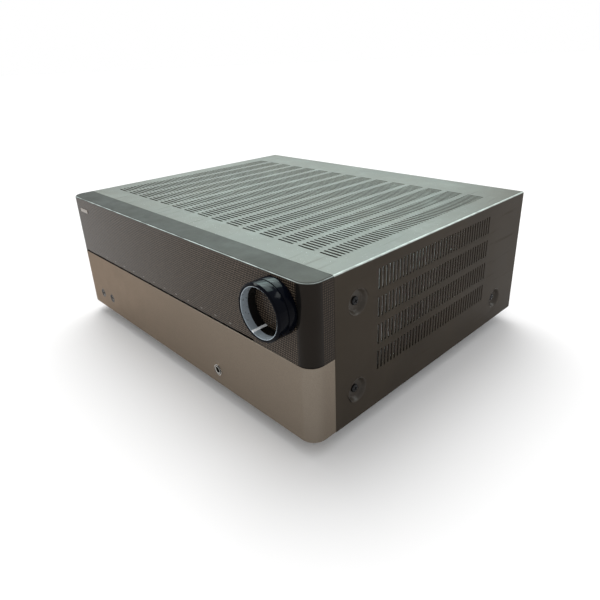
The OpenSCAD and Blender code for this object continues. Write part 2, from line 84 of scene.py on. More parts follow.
# Each dimple: how far it is behind the face, and above the bottom of the cover
DIMPLES = ((56 * MM, 116 * MM), (56 * MM, 29.5 * MM), (308.3 * MM, 28.3 * MM))
DIMPLE_R, DIMPLE_FLOOR_R, DIMPLE_D = 11.5 * MM, 9 * MM, 4.5 * MM
Z_PHONES = Z_BASE + 17 * MM
HDMI_X = (-104, -74, -44, -14, 30)  # millimetres
HDMI_Z = Z_BASE + 116.4 * MM

# ---- Mesh helpers ----


def link(name, mesh, sharp=35):
    """A new object of this mesh, shaded smooth up to an angle in degrees."""
    mesh.validate()
    for face in mesh.polygons:
        face.use_smooth = True
    mesh.set_sharp_from_angle(angle=math.radians(sharp))
    obj = bpy.data.objects.new(name, mesh)
    bpy.context.scene.collection.objects.link(obj)
    return obj


def from_lists(name, verts, faces, sharp=35):
    """An object from vertices and faces, welded and with its faces turned outwards."""
    mesh = bpy.data.meshes.new(name)
    mesh.from_pydata([tuple(v) for v in verts], [], faces)
    bm = bmesh.new()
    bm.from_mesh(mesh)
    bmesh.ops.remove_doubles(bm, verts=bm.verts, dist=1e-6)
    bmesh.ops.recalc_face_normals(bm, faces=bm.faces)
    bm.to_mesh(mesh)
    bm.free()
    return link(name, mesh, sharp)


def keep_flat(obj):
    """Big flat faces keep their own normals beside small rounded ones."""
    made = obj.modifiers.new("flat_faces", "WEIGHTED_NORMAL")
    made.keep_sharp = True
    made.weight = 90
    return obj


def rounded(obj, width, segments=2, angle=35):
    """Rounds the edges of a CAD node or a piece by a width in millimetres."""
    obj.modifiers.new("weld", "WELD").merge_threshold = 1e-6
    bevel = obj.modifiers.new("round_edges", "BEVEL")
    bevel.width = width * MM
    bevel.segments = segments
    bevel.limit_method = "ANGLE"
    bevel.angle_limit = math.radians(angle)
    normals = obj.modifiers.new("flat_faces", "WEIGHTED_NORMAL")
    normals.keep_sharp = False
    normals.weight = 90
    return obj


def frame_at(origin, direction):
    """A matrix whose Z axis points along direction, which is an axis of the row frame."""
    z = Vector(direction).normalized()
    x = Vector((1, 0, 0)) if abs(z.x) < 0.5 else Vector((0, 1, 0))
    y = z.cross(x).normalized()
    x = y.cross(z)
    turn = Matrix((x, y, z)).transposed()
    return Matrix.Translation(origin) @ turn.to_4x4()


def circle(radius, height, count=64, turn=0.0):
    """A loop of points round the local Z axis."""
    angles = [TAU * i / count + turn for i in range(count)]
    return [Vector((radius * math.cos(a), radius * math.sin(a), height)) for a in angles]


def stitch(a, b, angle_of, closed=True):
    """Triangles between two loops of vertex numbers, each in rising order of angle_of."""
    faces = []
    i = j = 0
    turns_a = [angle_of(v) for v in a]
    turns_b = [angle_of(v) for v in b]
    if closed:
        a, b = a + [a[0]], b + [b[0]]
        turns_a.append(turns_a[0] + TAU)
        turns_b.append(turns_b[0] + TAU)
    while i < len(a) - 1 or j < len(b) - 1:
        step_a = turns_a[i + 1] if i < len(a) - 1 else math.inf
        step_b = turns_b[j + 1] if j < len(b) - 1 else math.inf
        if abs(step_a - step_b) < 1e-9:
            faces.append((a[i], a[i + 1], b[j + 1], b[j]))
            i, j = i + 1, j + 1
        elif step_a < step_b:
            faces.append((a[i], a[i + 1], b[j]))
            i += 1
        else:
            faces.append((a[i], b[j + 1], b[j]))
            j += 1
    return faces


def sorted_loop(points, centre=(0.0, 0.0)):
    """The points in order of their angle round a centre, from -pi to pi."""
    return sorted(points, key=lambda p: math.atan2(p[1] - centre[1], p[0] - centre[0]))


class Shape:
    """Collects solids in one mesh. Each solid is a stack of loops round a local Z axis."""

    def __init__(self):
        self.verts = []
        self.faces = []

    def stack(self, place, loops, ring=False, caps=(True, True)):
        """Joins loops of points, each star-shaped round the axis; ring joins the last to the first."""
        numbered = []
        for loop in loops:
            loop = sorted_loop([Vector(p) for p in loop])
            numbered.append([(len(self.verts) + i, math.atan2(p.y, p.x)) for i, p in enumerate(loop)])
            self.verts.extend(place @ p for p in loop)
        pairs = list(zip(numbered, numbered[1:]))
        if ring:
            pairs.append((numbered[-1], numbered[0]))
        for a, b in pairs:
            turn = dict(a + b)
            self.faces += stitch([v for v, _ in a], [v for v, _ in b], turn.get)
        if not ring:
            if caps[0]:
                self.faces.append(tuple(v for v, _ in reversed(numbered[0])))
            if caps[1]:
                self.faces.append(tuple(v for v, _ in numbered[-1]))
        return self

    def lathe(self, place, profile, count=64, ring=False):
        """Turns a profile of (radius, height) points round the local Z axis."""
        return self.stack(place, [circle(r, h, count) for r, h in profile], ring)

    def block(self, low, high, edge=0.0):
        """A box between two corners with its edges cut at 45 degrees."""
        low, high = Vector(low), Vector(high)
        mid, half = (low + high) / 2, (high - low) / 2
        e = min(edge, min(half) * 0.9)
        loops = []
        for cut, z in ((e, -half.z), (0, -half.z + e), (0, half.z - e), (e, half.z)):
            w, d = half.x - cut, half.y - cut
            c = max(e, 1e-6)
            loops.append(
                [
                    Vector((sx * (w - c * along), sy * (d - c * (1 - along)), z))
                    for sx in (-1, 1)
                    for sy in (-1, 1)
                    for along in (0, 1)
                ]
            )
        return self.stack(Matrix.Translation(mid), loops)

    def build(self, name, sharp=35):
        """The object made of the solids so far."""
        return from_lists(name, self.verts, self.faces, sharp)


def arc(centre, radius, start, end, count=5):
    """Points of a profile on a rounded edge; angles in degrees."""
    angles = [math.radians(start + (end - start) * i / count) for i in range(count + 1)]
    return [(centre[0] + radius * math.cos(a), centre[1] + radius * math.sin(a)) for a in angles]


# ---- The slotted cover ----


class Sheet:
    """A folded sheet, laid out flat.

    A point is (s, y, depth): s along the fold, y along Y, and depth pressed inwards.
    """

    def __init__(self, fold, thickness):
        self.fold = fold
        self.thickness = thickness
        self.points = []
        self.faces = []

    def add(self, s, y, depth=0.0):
        """Adds a point and returns its number."""
        self.points.append((s, y, depth))
        return len(self.points) - 1

    def grid(self, s_lines, y_lines, blocks):
        """Quads between the lines, apart from the blocks, which have a hole or a dimple in each.

        A block is (i0, i1, j0, j1, loops): the lines round it, and the loops inside it.
        """
        ids = [[self.add(s, y) for y in y_lines] for s in s_lines]
        taken = {(i, j) for i0, i1, j0, j1, _ in blocks for i in range(i0, i1) for j in range(j0, j1)}
        for i in range(len(s_lines) - 1):
            for j in range(len(y_lines) - 1):
                if (i, j) not in taken:
                    self.faces.append((ids[i][j], ids[i + 1][j], ids[i + 1][j + 1], ids[i][j + 1]))
        for i0, i1, j0, j1, loops in blocks:
            rim = [
                ids[i][j]
                for i in range(i0, i1 + 1)
                for j in range(j0, j1 + 1)
                if i in (i0, i1) or j in (j0, j1)
            ]
            self.ring(rim, loops)
        return ids

    def ring(self, rim, loops):
        """Joins a rim to one or more loops inside it."""
        centre = [sum(p[k] for p in loops[0]) / len(loops[0]) for k in (0, 1)]

        def turn(v):
            return math.atan2(self.points[v][1] - centre[1], self.points[v][0] - centre[0])

        outer = sorted(rim, key=turn)
        for loop in loops:
            inner = sorted([self.add(*p) for p in loop], key=turn)
            self.faces += stitch(outer, inner, turn)
            outer = inner

    def strip(self, a, b):
        """Joins two open rows of points that run along Y."""
        self.faces += stitch(a, b, lambda v: self.points[v][1], closed=False)

    def build(self, name):
        """The object: the sheet, the same sheet a thickness further in, and walls round every open edge."""
        count = len(self.points)
        verts = [self.fold(s, y, d) for s, y, d in self.points]
        verts += [self.fold(s, y, d + self.thickness) for s, y, d in self.points]
        faces = self.faces + [tuple(v + count for v in reversed(f)) for f in self.faces]
        uses = {}
        for face in self.faces:
            for a, b in zip(face, face[1:] + face[:1]):
                key = (min(a, b), max(a, b))
                uses[key] = uses.get(key, 0) + 1
        faces += [(a, b, b + count, a + count) for (a, b), n in uses.items() if n == 1]
        return keep_flat(from_lists(name, verts, faces, sharp=40))


def slot_loop(s, y, long_s, long_y):
    """A round-ended slot; its longer side is along s or along Y."""
    half_long, radius = max(long_s, long_y) / 2, min(long_s, long_y) / 2
    points = []
    for end in (1, -1):
        for k in range(7):
            a = -math.pi / 2 + math.pi * k / 6
            along = end * (half_long - radius + radius * math.cos(a))
            across = end * radius * math.sin(a)
            points.append((s + along, y + across, 0) if long_s > long_y else (s + across, y + along, 0))
    return points


def dimple_loops(s, y):
    """Rings of a pressed dimple, from its rim to the hole for the screw."""
    slope = (DIMPLE_R - DIMPLE_FLOOR_R) / DIMPLE_D
    hole_r, count = 2.1 * MM, 48
    rings = [(DIMPLE_R + 0.9 * MM, 0), (DIMPLE_R + 0.45 * MM, 0.06 * MM)]
    rings += [(DIMPLE_R + 0.1 * MM, 0.25 * MM)]
    rings += [(DIMPLE_R - slope * d * MM, d * MM) for d in (0.7, 1.6, 2.6, 3.5)]
    rings += [(DIMPLE_FLOOR_R + 0.05 * MM, DIMPLE_D - 0.4 * MM)]
    rings += [(DIMPLE_FLOOR_R - 0.4 * MM, DIMPLE_D - 0.08 * MM)]
    rings += [(DIMPLE_FLOOR_R - 1 * MM, DIMPLE_D), (hole_r, DIMPLE_D)]
    turns = [TAU * k / count for k in range(count)]
    return [[(s + r * math.cos(a), y + r * math.sin(a), d) for a in turns] for r, d in rings]


def make_cover():
    """The wrap-round cover, with every slot cut through and every dimple pressed in."""
    height = Z_TOP - Z_BASE
    flat_side = height - BEND_R
    bend = math.pi / 2 * BEND_R
    flat_top = 2 * (HALF_W - BEND_R)
    whole = 2 * (flat_side + bend) + flat_top

    def fold(s, y, depth):
        mirrored = s > whole / 2
        s = whole - s if mirrored else s
        if s <= flat_side:
            x, z = -HALF_W + depth, Z_BASE + s
        elif s < flat_side + bend:
            t = (s - flat_side) / BEND_R
            x = -HALF_W + BEND_R - (BEND_R - depth) * math.cos(t)
            z = Z_TOP - BEND_R + (BEND_R - depth) * math.sin(t)
        else:
            x, z = -HALF_W + BEND_R + (s - flat_side - bend), Z_TOP - depth
        return (-x if mirrored else x, y, z)

    sheet = Sheet(fold, SHEET_T)
    support = 0.8 * MM

    # The sides: slots in rows, a dimple in a block of its own
    row_mid = [SIDE_LOW + SLOT_LEN / 2 + VENT_PITCH * k for k in range(SIDE_ROWS)]
    s_rows = [m - VENT_PITCH / 2 for m in row_mid] + [row_mid[-1] + VENT_PITCH / 2]
    s_side = [0.0, 8 * MM] + s_rows + [flat_side - support]
    y_slots = [Y_FACE + SIDE_FIRST + SLOT_PITCH * (j - 0.5) for j in range(SIDE_SLOTS + 1)]
    guard = 16 * MM
    y_front = [Y_FACE + DIMPLES[0][0] + g for g in (-guard, guard)]
    y_rear = [Y_FACE + DIMPLES[2][0] + g for g in (-guard, guard)]
    y_side = [Y_COVER] + y_front + y_slots + y_rear + [Y_BACK]
    sides = []
    for right in (False, True):

        def place(value, right=right):
            return whole - value if right else value

        blocks = []
        for i, mid in enumerate(row_mid):
            for j in range(SIDE_SLOTS):
                y = Y_FACE + SIDE_FIRST + SLOT_PITCH * j
                blocks.append((i + 2, i + 3, j + 3, j + 4, [slot_loop(place(mid), y, SLOT_LEN, SLOT_W)]))
        for (y, z), span in zip(DIMPLES, ((4, 6), (1, 3), (1, 3))):
            first = 1 if y < SIDE_FIRST else len(y_side) - 3
            blocks.append((*span, first, first + 1, dimple_loops(place(z), Y_FACE + y)))
        sides.append(sheet.grid([place(s) for s in s_side], y_side, blocks))

    # The top
    x_first = -(TOP_ROWS - 1) / 2 * VENT_PITCH
    middle = whole / 2
    s_top = [flat_side + bend + support]
    s_top += [middle + x_first + VENT_PITCH * (i - 0.5) for i in range(TOP_ROWS + 1)]
    s_top += [whole - flat_side - bend - support]
    y_top = [Y_COVER] + [Y_FACE + TOP_FIRST + SLOT_PITCH * (j - 0.5) for j in range(TOP_SLOTS + 1)] + [Y_BACK]
    blocks = []
    for i in range(TOP_ROWS):
        for j in range(TOP_SLOTS):
            s = middle + x_first + VENT_PITCH * i
            y = Y_FACE + TOP_FIRST + SLOT_PITCH * j
            blocks.append((i + 1, i + 2, j + 1, j + 2, [slot_loop(s, y, SLOT_LEN, SLOT_W)]))
    top = sheet.grid(s_top, y_top, blocks)

    # The bends, which join the sides to the top
    y_bend = [Y_COVER + (Y_BACK - Y_COVER) * k / 12 for k in range(13)]
    for side, top_row, right in ((sides[0], top[0], False), (sides[1], top[-1], True)):
        rows = []
        for k in range(9):
            s = flat_side + bend * k / 8
            rows.append([sheet.add(whole - s if right else s, y) for y in y_bend])
        sheet.strip(side[-1], rows[0])
        for a, b in zip(rows, rows[1:]):
            sheet.strip(a, b)
        sheet.strip(rows[-1], top_row)
    return sheet.build("cover_skin")


# ---- Screws ----


def cross_loop(reach, arm, height):
    """The outline of a cross recess."""
    quarter = [(reach, -arm), (reach, arm), (arm, arm)]
    points = []
    for k in range(4):
        c, s = math.cos(math.pi / 2 * k), math.sin(math.pi / 2 * k)
        points += [Vector((x * c - y * s, x * s + y * c, height)) for x, y in quarter]
    return points


def add_screw(shape, place, radius, height, shank, length):
    """A pan-head screw with a cross recess. The local Z axis points out of the head."""
    spin = place @ Matrix.Rotation(0.35, 4, "Z")
    r = radius * MM
    h = height * MM
    loops = [
        circle(shank * MM, -length * MM, 48),
        circle(shank * MM, -0.02 * MM, 48),
        circle(r * 0.97, 0, 48),
        circle(r, h * 0.12, 48),
        circle(r * 0.98, h * 0.45, 48),
        circle(r * 0.9, h * 0.75, 48),
        circle(r * 0.76, h * 0.93, 48),
        circle(r * 0.62, h, 48),
        cross_loop(r * 0.52, r * 0.13, h),
        cross_loop(r * 0.44, r * 0.1, h * 0.35),
    ]
    shape.stack(spin, loops)


def make_cover_screws():
    """The screws in the dimples of the cover."""
    shape = Shape()
    for side in (-1, 1):
        for y, z in DIMPLES:
            origin = Vector((side * (HALF_W - DIMPLE_D), Y_FACE + y, Z_BASE + z))
            add_screw(shape, frame_at(origin, (side, 0, 0)), 4, 2, 1.75, 5.4)
    return shape.build("cover_screw_heads")


def make_rear_screws():
    """The screws of the rear panel, in two rows."""
    shape = Shape()
    head_r = 3.6
    low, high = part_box("rear_screws")
    for x in (low.x + head_r * MM, -66 * MM, 52 * MM, high.x - head_r * MM):
        for z in (low.z + head_r * MM, high.z - head_r * MM):
            add_screw(shape, frame_at(Vector((x, Y_PANEL, z)), (0, 1, 0)), head_r, 2, 1.75, 4.2)
    return shape.build("rear_screw_heads")


# ---- Volume knob ----


def knob_place():
    """The knob's axis; its local Z points out of the front."""
    return frame_at(Vector((KNOB_X, KNOB_FRONT, KNOB_Z)), (0, -1, 0))


def make_knob_ring():
    """The glossy ring: two bands with a groove between them, and a bevelled lip round the liner."""
    r = KNOB_R
    back = ring_low.y - ring_high.y
    groove = -10 * MM
    liner_r = r - 2.7 * MM
    bore_r = r - 3.4 * MM
    step = -7.6 * MM
    profile = [(bore_r, back), (r - 0.6 * MM, back)]
    profile += arc((r - 0.5 * MM, back + 0.5 * MM), 0.5 * MM, -80, 0)
    profile += arc((r - 0.3 * MM, groove - 0.8 * MM), 0.3 * MM, 0, 80, 4)
    profile += [(r - 0.55 * MM, groove - 0.4 * MM), (r - 0.55 * MM, groove + 0.3 * MM)]
    profile += arc((r - 0.3 * MM, groove + 0.7 * MM), 0.3 * MM, -80, 0, 4)
    profile += arc((r - 0.4 * MM, -1.5 * MM), 0.4 * MM, 0, 45, 4)
    profile += arc((r - 1.5 * MM, -0.4 * MM), 0.4 * MM, 45, 90, 4)
    profile += arc((liner_r + 0.35 * MM, -0.35 * MM), 0.35 * MM, 90, 180, 4)
    profile += [(liner_r, step), (bore_r, step)]
    return Shape().lathe(knob_place(), profile, 160, ring=True).build("knob_ring_turned")


def make_knob_liner():
    """The satin liner, with a fine bead at its front edge."""
    low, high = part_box("knob_liner")
    length = high.y - low.y
    outer = (high.x - low.x) / 2
    inner = outer - 0.6 * MM
    place = frame_at(Vector((KNOB_X, low.y, KNOB_Z)), (0, -1, 0))
    profile = [(outer, -length), (outer, -0.15 * MM), (outer - 0.15 * MM, 0), (inner + 0.2 * MM, 0)]
    profile += [(inner + 0.03 * MM, -0.12 * MM), (inner, -0.35 * MM), (inner, -length)]
    return Shape().lathe(place, profile, 160, ring=True).build("knob_liner_turned")


# ---- Front details ----


def make_headphone_ring():
    """The bright bush in the headphone socket."""
    low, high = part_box("headphone_jack")
    place = frame_at(Vector(((low.x + high.x) / 2, low.y, Z_PHONES)), (0, -1, 0))
    profile = [(3.27 * MM, -3 * MM), (4.3 * MM, -3 * MM), (4.3 * MM, 0.1 * MM)]
    profile += arc((4.0 * MM, 0.1 * MM), 0.3 * MM, 0, 90, 5)
    profile += arc((3.6 * MM, 0.07 * MM), 0.33 * MM, 90, 180, 5)
    return Shape().lathe(place, profile, 72, ring=True).build("headphone_bush")


def make_headphone_rim():
    """The dark rim round the bush."""
    low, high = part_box("headphone_jack")
    place = frame_at(Vector(((low.x + high.x) / 2, low.y, Z_PHONES)), (0, -1, 0))
    profile = [(4.32 * MM, -3 * MM), (4.95 * MM, -3 * MM), (4.95 * MM, 0.3 * MM)]
    profile += arc((4.65 * MM, 0.3 * MM), 0.3 * MM, 0, 180, 7)
    return Shape().lathe(place, profile, 72, ring=True).build("headphone_rim")


def make_mini_contacts():
    """A small bright sleeve in each of the small front sockets."""
    shape = Shape()
    for node in ("front_jack_left", "front_jack_right"):
        low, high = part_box(node)
        origin = Vector(((low.x + high.x) / 2, Y_FACE + 0.8 * MM, Z_BASE + 20 * MM))
        profile = [(1.87 * MM, -2 * MM), (2.7 * MM, -2 * MM), (2.7 * MM, 0.25 * MM), (2.5 * MM, 0.4 * MM)]
        profile += [(2.0 * MM, 0.35 * MM), (1.87 * MM, 0.15 * MM)]
        shape.lathe(frame_at(origin, (0, -1, 0)), profile, 48, ring=True)
    return shape.build("front_jack_sleeves")


def make_front_marks():
    """Printed marks without lettering: a short dash above each key, and a dash by each socket."""
    shape = Shape()
    proud = 0.04 * MM

    def dash(x, z, width, height):
        low = (x - width / 2, Y_FACE - proud, z - height / 2)
        high = (x + width / 2, Y_FACE + 0.1 * MM, z + height / 2)
        shape.block(low, high, 0.01 * MM)

    for i in range(1, 13):
        low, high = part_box(f"menu_key_{i}")
        dash((low.x + high.x) / 2, high.z + 2.6 * MM, 3.2 * MM, 0.7 * MM)
    for node in ("front_jack_left", "front_jack_right"):
        low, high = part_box(node)
        dash((low.x + high.x) / 2, Z_BASE + 27.2 * MM, 5 * MM, 0.6 * MM)
    low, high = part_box("headphone_jack")
    x = (low.x + high.x) / 2
    dash(x, Z_BASE + 26.5 * MM, 7 * MM, 0.6 * MM)
    dash(x, Z_BASE + 6.2 * MM, 4 * MM, 0.6 * MM)
    return shape.build("front_marks")


# ---- Inside ----


def make_fin_tips():
    """The flanged tips of the heatsink's fins, which show bright behind the slots of the right side."""
    low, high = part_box("heatsink")
    fins, thick, flange = 20, 1.8 * MM, 3.4 * MM
    shape = Shape()
    for i in range(fins):
        y = low.y + thick / 2 + i * (high.y - low.y - thick) / (fins - 1)
        shape.block(
            (high.x - 0.9 * MM, y - flange / 2, low.z + 2 * MM),
            (high.x + 0.5 * MM, y + flange / 2, high.z - 2 * MM),
            0.3 * MM,
        )
    return shape.build("fin_tips")


# ---- Back details ----


def rca_centres():
    """The X, Z and colour number of every phono socket."""
    first, columns, rows = -122 * MM, 8, 2
    return [
        (first + 17 * MM * i, Z_BASE + (46 + 18 * j) * MM, (i + j) % 2)
        for i in range(columns)
        for j in range(rows)
    ]


def make_rca_rings(odd, name):
    """Coloured insulators of the phono sockets: a washer on the panel and a disc inside the collar."""
    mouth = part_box("rca_jacks")[1].y
    shape = Shape()
    for x, z, kind in rca_centres():
        if kind != odd:
            continue
        washer = [(4.22 * MM, 0.05 * MM), (6.6 * MM, 0.05 * MM), (6.6 * MM, 0.7 * MM), (6.3 * MM, 1.1 * MM)]
        washer += [(4.6 * MM, 1.1 * MM), (4.22 * MM, 0.8 * MM)]
        shape.lathe(frame_at(Vector((x, Y_PANEL, z)), (0, 1, 0)), washer, 40, ring=True)
        disc = [(1.75 * MM, 0.01 * MM), (3.35 * MM, 0.01 * MM), (3.3 * MM, 0.12 * MM), (1.8 * MM, 0.12 * MM)]
        shape.lathe(frame_at(Vector((x, mouth, z)), (0, 1, 0)), disc, 40, ring=True)
    return shape.build(name)


def make_rca_collars():
    """The rolled lip and the inner sleeve at the mouth of each phono socket."""
    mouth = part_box("rca_jacks")[1].y
    shape = Shape()
    for x, z, _ in rca_centres():
        place = frame_at(Vector((x, mouth, z)), (0, 1, 0))
        lip = [(3.4 * MM, -0.2 * MM), (4.17 * MM, -0.9 * MM), (4.17 * MM, -0.1 * MM)]
        lip += arc((3.95 * MM, 0.02 * MM), 0.22 * MM, 0, 150, 5) + [(3.4 * MM, 0.05 * MM)]
        shape.lathe(place, lip, 40, ring=True)
        sleeve = [(1.3 * MM, -2 * MM), (1.62 * MM, -2 * MM), (1.62 * MM, 0.25 * MM)]
        sleeve += [(1.45 * MM, 0.35 * MM), (1.3 * MM, 0.25 * MM)]
        shape.lathe(place, sleeve, 24, ring=True)
    return shape.build("rca_lips")


def make_hdmi_tongues():
    """The tongue in each HDMI socket."""
    shape = Shape()
    for x in HDMI_X:
        low = ((x - 5.6) * MM, Y_PANEL - 7.5 * MM, HDMI_Z - 0.1 * MM)
        high = ((x + 5.6) * MM, Y_PANEL - 0.4 * MM, HDMI_Z + 0.9 * MM)
        shape.block(low, high, 0.15 * MM)
    return shape.build("hdmi_tongues")


def make_hdmi_contacts():
    """Gilt contact strips on the tongues."""
    shape = Shape()
    contacts = 10
    for x in HDMI_X:
        for k in range(contacts):
            left = (x - 4.7 + k) * MM
            for low_z, high_z in ((-0.16, -0.05), (0.85, 0.96)):
                low = (left, Y_PANEL - 7 * MM, HDMI_Z + low_z * MM)
                high = (left + 0.45 * MM, Y_PANEL - 0.9 * MM, HDMI_Z + high_z * MM)
                shape.block(low, high, 0.02 * MM)
    return shape.build("hdmi_contacts")


def make_antenna_parts():
    """The thread and the nut of the F socket."""
    low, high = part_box("antenna_block")
    x, z = (low.x + high.x) / 2 + 8 * MM, (low.z + high.z) / 2
    place = frame_at(Vector((x, Y_PANEL + 1 * MM, z)), (0, 1, 0))
    shape = Shape()
    bore, root, crest = 4.4 * MM, 4.72 * MM, 4.98 * MM
    turns, pitch = 9, 0.95
    profile = [(bore, 0.6 * MM)]
    for k in range(turns):
        base = 0.7 + pitch * k
        profile += [(root, base * MM), (crest, (base + 0.35) * MM)]
        profile += [(crest, (base + 0.5) * MM), (root, (base + 0.85) * MM)]
    profile += [(bore, 9.6 * MM)]
    shape.lathe(place, profile, 48, ring=True)
    nut = [(4.75, 0.55), (6.6, 0.55), (6.9, 0.8), (6.9, 2.0), (6.6, 2.3), (4.75, 2.3)]
    shape.lathe(place, [(r * MM, h * MM) for r, h in nut], 6, ring=True)
    return shape.build("antenna_thread", sharp=25)


def make_clip_levers():
    """The levers of the two wire clips: an arm and a thumb plate each."""
    low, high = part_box("antenna_block")
    z = (low.z + high.z) / 2
    left = (low.x + high.x) / 2 - 14 * MM
    shape = Shape()
    for dz in (-8, 2):
        arm_low = (left + 0.6 * MM, Y_PANEL + 0.6 * MM, z + (dz + 4.9) * MM)
        arm_high = (left + 11.4 * MM, Y_PANEL + 5.6 * MM, z + (dz + 6.9) * MM)
        shape.block(arm_low, arm_high, 0.5 * MM)
        plate_low = (left + 1.6 * MM, Y_PANEL + 5.4 * MM, z + (dz + 3.6) * MM)
        plate_high = (left + 10.4 * MM, Y_PANEL + 6.4 * MM, z + (dz + 6.7) * MM)
        shape.block(plate_low, plate_high, 0.4 * MM)
    return shape.build("antenna_levers")


def make_inlet_pins():
    """Bright sleeves on the three pins of the mains inlet."""
    low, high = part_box("ac_inlet")
    x, z = (low.x + high.x) / 2, (low.z + high.z) / 2
    shape = Shape()
    for dx, dz in ((-7, -2), (0, 2.5), (7, -2)):
        pin_low = (x + (dx - 1.1) * MM, Y_PANEL - 13 * MM, z + (dz - 2.1) * MM)
        pin_high = (x + (dx + 1.1) * MM, Y_PANEL - 2.0 * MM, z + (dz + 2.1) * MM)
        shape.block(pin_low, pin_high, 0.5 * MM)
    return shape.build("inlet_pins")


def make_rear_marks():
    """Thin printed frames round the groups of sockets, without lettering."""
    shape = Shape()
    y0, y1 = Y_PANEL - 0.1 * MM, Y_PANEL + 0.04 * MM

    def bar(xa, za, xb, zb):
        shape.block((xa * MM, y0, Z_BASE + za * MM), (xb * MM, y1, Z_BASE + zb * MM), 0.01 * MM)

    def box_line(x0, x1, z0, z1, w=0.5):
        bar(x0, z0, x1, z0 + w)
        bar(x0, z1 - w, x1, z1)
        bar(x0, z0, x0 + w, z1)
        bar(x1 - w, z0, x1, z1)

    box_line(-132, 7, 35, 75)
    box_line(-114, -4, 107, 126)
    box_line(19, 41, 107, 126)
    box_line(72, 120, 105, 138)
    box_line(100, 200, 11, 69)
    for i in range(7):
        x = -113.5 + 17 * i
        bar(x, 39, x + 0.3, 71)
    return shape.build("rear_marks")


def make_post_rings(red, name):
    """Coloured collars at the foot of the speaker posts."""
    block_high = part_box("speaker_block")[1]
    shape = Shape()
    for i in range(1, 9):
        if (i % 2 == 0) != red:
            continue
        low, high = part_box(f"post_cap_{i}")
        centre = Vector(((low.x + high.x) / 2, block_high.y, (low.z + high.z) / 2))
        profile = [(3.1 * MM, -0.1 * MM), (7.6 * MM, -0.1 * MM), (7.6 * MM, 0.5 * MM)]
        profile += [(7.2 * MM, 0.9 * MM), (3.1 * MM, 0.9 * MM)]
        shape.lathe(frame_at(centre, (0, 1, 0)), profile, 48, ring=True)
    return shape.build(name)


# ---- Materials ----


class Look:
    """A material: the shader, and the nodes that feed it in the part's own coordinates."""

    def __init__(self, name, **sockets):
        self.material = bpy.data.materials.new(name)
        self.material.use_nodes = True
        self.tree = self.material.node_tree
        self.shader = self.tree.nodes["Principled BSDF"]
        self.place = self.add("ShaderNodeTexCoord").outputs["Object"]
        self.last_normal = None
        for key, value in sockets.items():
            self.shader.inputs[key.replace("_", " ").title().replace("Ior", "IOR")].default_value = value

    def add(self, kind, inputs=None, **settings):
        node = self.tree.nodes.new(kind)
        for key, value in settings.items():
            setattr(node, key, value)
        for key, value in (inputs or {}).items():
            if isinstance(value, bpy.types.NodeSocket):
                self.tree.links.new(value, node.inputs[key])
            else:
                node.inputs[key].default_value = value
        return node

    def math(self, operation, a, b=0.0):
        return self.add("ShaderNodeMath", {0: a, 1: b}, operation=operation).outputs[0]

    def axes(self):
        parts = self.add("ShaderNodeSeparateXYZ", {0: self.place})
        return parts.outputs[0], parts.outputs[1], parts.outputs[2]

    def length(self, a, b):
        """How long the step (a, b) is."""
        squares = [self.math("MULTIPLY", w, w) for w in (a, b)]
        return self.math("SQRT", self.math("ADD", *squares))

    def scaled(self, x, y, z):
        """The coordinates stretched along each axis."""
        inputs = {0: self.place, 1: (x, y, z)}
        return self.add("ShaderNodeVectorMath", inputs, operation="MULTIPLY").outputs[0]

    def noise(self, size, detail=2.0, vector=None, rough=0.55):
        """Noise whose features are about size millimetres across."""
        inputs = {"Vector": vector or self.place, "Scale": 1 / (size * MM)}
        inputs |= {"Detail": detail, "Roughness": rough}
        return self.add("ShaderNodeTexNoise", inputs).outputs[0]

    def span(self, value, low, high, to_low=0.0, to_high=1.0):
        inputs = {0: value, 1: low, 2: high, 3: to_low, 4: to_high}
        return self.add("ShaderNodeMapRange", inputs, clamp=True).outputs[0]

    def blend(self, factor, a, b):
        node = self.add("ShaderNodeMix", data_type="RGBA")
        for key, value in (("Factor", factor), ("A", a), ("B", b)):
            sockets = [s for s in node.inputs if s.name == key and s.enabled]
            if isinstance(value, bpy.types.NodeSocket):
                self.tree.links.new(value, sockets[0])
            else:
                sockets[0].default_value = value if key == "Factor" else (*value, 1)
        return [s for s in node.outputs if s.enabled][0]

    def colour(self, source):
        self.tree.links.new(source, self.shader.inputs["Base Color"])

    def rough(self, source):
        self.tree.links.new(source, self.shader.inputs["Roughness"])

    def bump(self, height, depth, strength=1.0):
        """Adds relief; depth is in millimetres for a height from 0 to 1."""
        inputs = {"Height": height, "Distance": depth * MM, "Strength": strength}
        if self.last_normal:
            inputs["Normal"] = self.last_normal
        self.last_normal = self.add("ShaderNodeBump", inputs).outputs[0]
        self.tree.links.new(self.last_normal, self.shader.inputs["Normal"])


def shade(colour, factor):
    """The colour made lighter or darker."""
    return tuple(min(1.0, c * factor) for c in colour)


def plain(
    name, colour, rough, metallic=0.0, grain=0.5, depth=0.01, mottle=0.1, spread=0.06, cloud=18, **sockets
):
    """A surface with a fine grain, cloudy colour and uneven roughness."""
    look = Look(name, metallic=metallic, **sockets)
    cloudy = look.span(look.noise(cloud, 3), 0.3, 0.7)
    look.colour(look.blend(cloudy, shade(colour, 1 - mottle), shade(colour, 1 + mottle)))
    look.rough(look.span(look.noise(cloud * 0.6, 4), 0.3, 0.7, max(0.02, rough - spread), rough + spread))
    look.bump(look.noise(grain, 2), depth)
    return look


